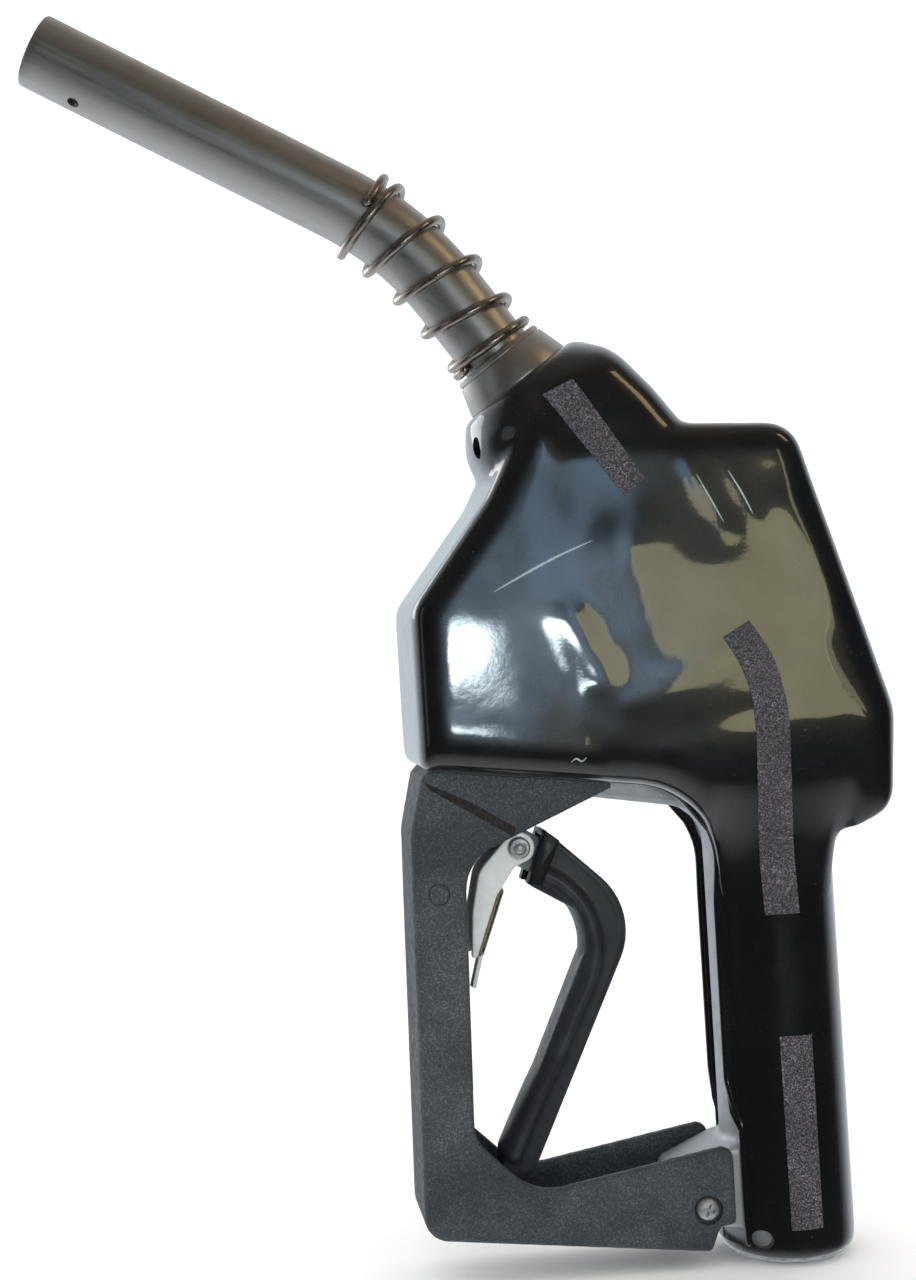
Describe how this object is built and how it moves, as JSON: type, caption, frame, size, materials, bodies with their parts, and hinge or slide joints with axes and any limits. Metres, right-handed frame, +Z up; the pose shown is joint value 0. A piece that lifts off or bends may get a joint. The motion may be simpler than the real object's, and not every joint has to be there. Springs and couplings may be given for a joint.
{
  "type": "fuel nozzle",
  "caption": "Automatic shut-off fuel nozzle: bent metal spout with a wire spring, black vinyl-covered body and handle, squeeze lever with hold-open clip, and a plastic lever guard.",
  "frame": {"origin": "centre of the hose inlet's mouth, in the flat end face at the bottom of the handle", "axes": "+Z up along the handle's axis from the hose inlet towards the body; +X from the lever guard towards the back of the handle, so the spout points towards -X; the plane of symmetry is y = 0"},
  "size_m": [0.2303, 0.054, 0.3583],
  "materials": {
    "vinyl": "glossy black dipped vinyl over the casting, softly wrinkled, with grained stripes",
    "casting": "as-cast aluminium, fine sand texture",
    "spout": "satin drawn aluminium, fine lengthwise draw marks",
    "spring": "bare spring steel wire",
    "steel": "zinc plated steel",
    "guard": "charcoal moulded nylon with a coarse leather-like grain",
    "lever": "satin black moulded nylon",
    "brass": "turned brass",
    "rubber": "black fuel-resistant rubber",
    "acetal": "natural acetal, machined"
  },
  "bodies": {
    "nozzle": {"hand_insulator": "vinyl", "body_casting": "casting", "spout_tube": "spout", "spout_spring": "spring", "spout_collar": "spout", "spout_adapter": "brass", "adapter_o_ring": "rubber", "vent_tube": "steel", "check_seat": "brass", "check_spring": "spring", "body_cap": "casting", "cap_o_ring": "rubber", "stem_packing": "acetal", "packing_nut": "brass", "main_spring": "spring", "latch_ring": "steel", "diaphragm": "rubber", "diaphragm_spring": "spring", "vacuum_cap": "casting", "plunger_spring": "spring", "lever_guard": "guard", "guard_screw": "steel", "guard_nut": "steel"},
    "trip_plunger": {"trip_plunger": "steel", "latch_ball_1": "steel", "latch_ball_2": "steel", "latch_ball_3": "steel", "lever_pin": "steel"},
    "lever": {"lever_core": "steel", "lever_grip": "lever", "clip_rivet": "steel"},
    "clip": {"hold_open_clip": "steel", "clip_spring": "spring"},
    "main_valve": {"main_stem": "steel", "main_poppet": "brass", "poppet_disc": "rubber"},
    "check_valve": {"check_poppet": "acetal"},
    "diaphragm_pin": {"latch_pin": "steel", "diaphragm_plate": "brass"}
  },
  "joints": [
    {"name": "trip_plunger_slide", "type": "slide", "parent": "nozzle", "child": "trip_plunger", "axis": [0, 0, -1], "range_m": [0, 0.007], "stiffness_N_per_m": 900, "deforming": ["plunger_spring"]},
    {"name": "lever_hinge", "type": "hinge", "parent": "trip_plunger", "child": "lever", "pos_m": [-0.085, 0, 0.1325], "axis": [0, -1, 0], "range_deg": [0, 20], "stiffness_Nm_per_rad": 1.2, "springref_deg": -14.32},
    {"name": "clip_hinge", "type": "hinge", "parent": "lever", "child": "clip", "pos_m": [-0.0708, 0, 0.1186], "axis": [0, -1, 0], "range_deg": [-20, 4], "stiffness_Nm_per_rad": 0.06},
    {"name": "main_stem_slide", "type": "slide", "parent": "nozzle", "child": "main_valve", "axis": [0.5592, 0, 0.829], "range_m": [0, 0.005], "deforming": ["main_spring"]},
    {"name": "check_poppet_slide", "type": "slide", "parent": "nozzle", "child": "check_valve", "axis": [-0.5736, 0, 0.8192], "range_m": [0, 0.004], "stiffness_N_per_m": 400, "springref_m": -0.002, "deforming": ["check_spring"]},
    {"name": "diaphragm_slide", "type": "slide", "parent": "nozzle", "child": "diaphragm_pin", "axis": [0, 0, 1], "range_m": [0, 0.003], "stiffness_N_per_m": 400, "springref_m": -0.002, "deforming": ["diaphragm_spring", "diaphragm"]}
  ],
  "couplings": [
    {"joint": "main_stem_slide", "follows": "lever_hinge", "m_per_rad": 0.013}
  ]
}
